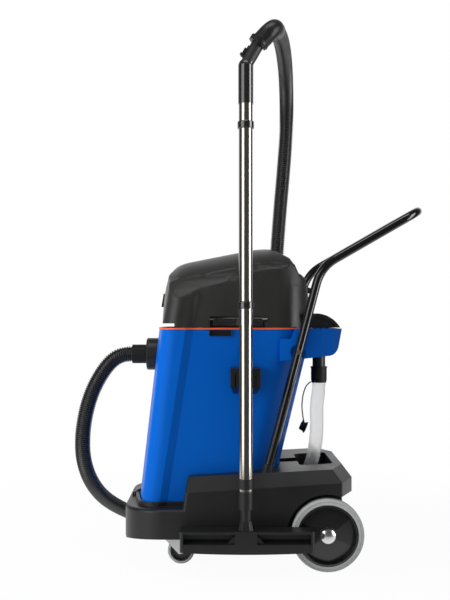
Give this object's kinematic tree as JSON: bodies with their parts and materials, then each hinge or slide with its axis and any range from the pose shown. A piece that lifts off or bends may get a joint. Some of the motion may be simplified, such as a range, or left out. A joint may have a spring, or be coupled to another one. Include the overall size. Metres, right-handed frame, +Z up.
{
  "type": "wet and dry vacuum cleaner on a trolley",
  "caption": "Commercial wet and dry vacuum cleaner: leaning tank on a wheeled trolley, motor head, push handle, ribbed hose and a wand with a floor tool.",
  "frame": {"origin": "on the floor in the trolley's middle plane, midway between the rear axle and the casters' swivel axes", "axes": "+X towards the rear wheels and push handle, +Y towards the side where the hose lies, +Z up"},
  "size_m": [1.0075, 0.6706, 1.5122],
  "materials": {
    "black_plastic": "moulded black plastic, fine grain",
    "blue_plastic": "moulded blue plastic, satin",
    "steel": "drawn stainless tube",
    "black_steel": "black powder coat",
    "chrome": "chrome",
    "zinc": "zinc plated sheet",
    "axle_steel": "bright bar",
    "grey_tyre": "non-marking grey rubber",
    "black_rubber": "rubber",
    "hose_black": "ribbed flexible hose",
    "hose_clear": "ribbed translucent hose",
    "red_seal": "red rubber seal",
    "filter_paper": "pleated filter paper",
    "copper": "wound core"
  },
  "bodies": {
    "machine": {"bend_tube": "black_plastic", "caster_plates": "zinc", "catch_pin": "axle_steel", "cord_gland": "black_rubber", "cord_hook": "black_plastic", "drain_cuff": "black_rubber", "drain_hose": "hose_clear", "drain_outlet": "black_plastic", "drain_stopper": "black_rubber", "drain_strap": "black_rubber", "drain_stub": "black_plastic", "filter_cartridge": "filter_paper", "float_cage": "black_plastic", "floor_tool": "black_plastic", "handle_bolts": "axle_steel", "handle_collars": "black_plastic", "head_base": "black_plastic", "head_cover": "black_plastic", "hose_elbow": "black_plastic", "hose_inlet_cuff": "black_rubber", "inlet_collar": "black_plastic", "latch_pins": "axle_steel", "motor_bearings": "axle_steel", "motor_housing": "black_plastic", "push_handle": "black_steel", "rear_axle": "axle_steel", "rear_tray": "blue_plastic", "rim_seal": "red_seal", "suction_hose": "hose_black", "switch_bezel": "black_plastic", "tank": "blue_plastic", "tool_blades": "black_rubber", "tool_collar": "black_plastic", "trolley": "black_plastic", "wand_clip": "black_plastic", "wand_lower": "steel", "wand_ring_lower": "black_plastic", "wand_ring_upper": "black_plastic", "wand_upper": "steel", "wheel_caps": "chrome"},
    "wheel_near": {"wheel_hub_near": "black_plastic", "wheel_tyre_near": "grey_tyre"},
    "wheel_far": {"wheel_hub_far": "black_plastic", "wheel_tyre_far": "grey_tyre"},
    "caster_near": {"caster_fork_near": "zinc", "caster_axle_near": "zinc"},
    "caster_far": {"caster_fork_far": "zinc", "caster_axle_far": "zinc"},
    "caster_wheel_near": {"caster_hub_near": "black_plastic", "caster_tyre_near": "grey_tyre"},
    "caster_wheel_far": {"caster_hub_far": "black_plastic", "caster_tyre_far": "grey_tyre"},
    "latch_near_body": {"latch_near": "black_plastic"},
    "latch_far_body": {"latch_far": "black_plastic"},
    "rocker_body": {"switch_rocker": "black_plastic"},
    "slider_body": {"air_slider": "black_plastic"},
    "catch_body": {"tank_catch": "black_plastic"},
    "rotor_body": {"rotor": "copper", "impeller": "zinc"},
    "float_body": {"float": "black_plastic"}
  },
  "joints": [
    {"name": "rear_wheel_near_spin", "type": "hinge", "parent": "machine", "child": "wheel_near", "pos_m": [0.216, -0.23, 0.1], "axis": [0, 1, 0], "continuous": true},
    {"name": "caster_near_swivel", "type": "hinge", "parent": "machine", "child": "caster_near", "pos_m": [-0.216, -0.143, 0.088], "axis": [0, 0, 1], "continuous": true},
    {"name": "caster_near_spin", "type": "hinge", "parent": "caster_near", "child": "caster_wheel_near", "pos_m": [-0.188, -0.143, 0.0375], "axis": [0, 1, 0], "continuous": true},
    {"name": "latch_near_lift", "type": "hinge", "parent": "machine", "child": "latch_near_body", "pos_m": [-0.028, -0.177, 0.69], "axis": [-1, 0, 0], "range_deg": [0, 75]},
    {"name": "rear_wheel_far_spin", "type": "hinge", "parent": "machine", "child": "wheel_far", "pos_m": [0.216, 0.23, 0.1], "axis": [0, 1, 0], "continuous": true},
    {"name": "caster_far_swivel", "type": "hinge", "parent": "machine", "child": "caster_far", "pos_m": [-0.216, 0.143, 0.088], "axis": [0, 0, 1], "continuous": true},
    {"name": "caster_far_spin", "type": "hinge", "parent": "caster_far", "child": "caster_wheel_far", "pos_m": [-0.188, 0.143, 0.0375], "axis": [0, 1, 0], "continuous": true},
    {"name": "latch_far_lift", "type": "hinge", "parent": "machine", "child": "latch_far_body", "pos_m": [-0.028, 0.177, 0.69], "axis": [1, 0, 0], "range_deg": [0, 75]},
    {"name": "switch_rock", "type": "hinge", "parent": "machine", "child": "rocker_body", "pos_m": [-0.24097, 0, 0.745], "axis": [0, 1, 0], "range_deg": [-8, 8]},
    {"name": "air_slide", "type": "slide", "parent": "machine", "child": "slider_body", "axis": [0.5, 0, 0.866], "range_m": [0, 0.009]},
    {"name": "catch_swing", "type": "hinge", "parent": "machine", "child": "catch_body", "pos_m": [-0.331, 0, 0.1745], "axis": [0, -1, 0], "range_deg": [0, 40]},
    {"name": "rotor_spin", "type": "hinge", "parent": "machine", "child": "rotor_body", "pos_m": [-0.045, 0, 0.77], "axis": [0, 0, 1], "continuous": true},
    {"name": "float_rise", "type": "slide", "parent": "machine", "child": "float_body", "axis": [0, 0, 1], "range_m": [0, 0.025]}
  ]
}
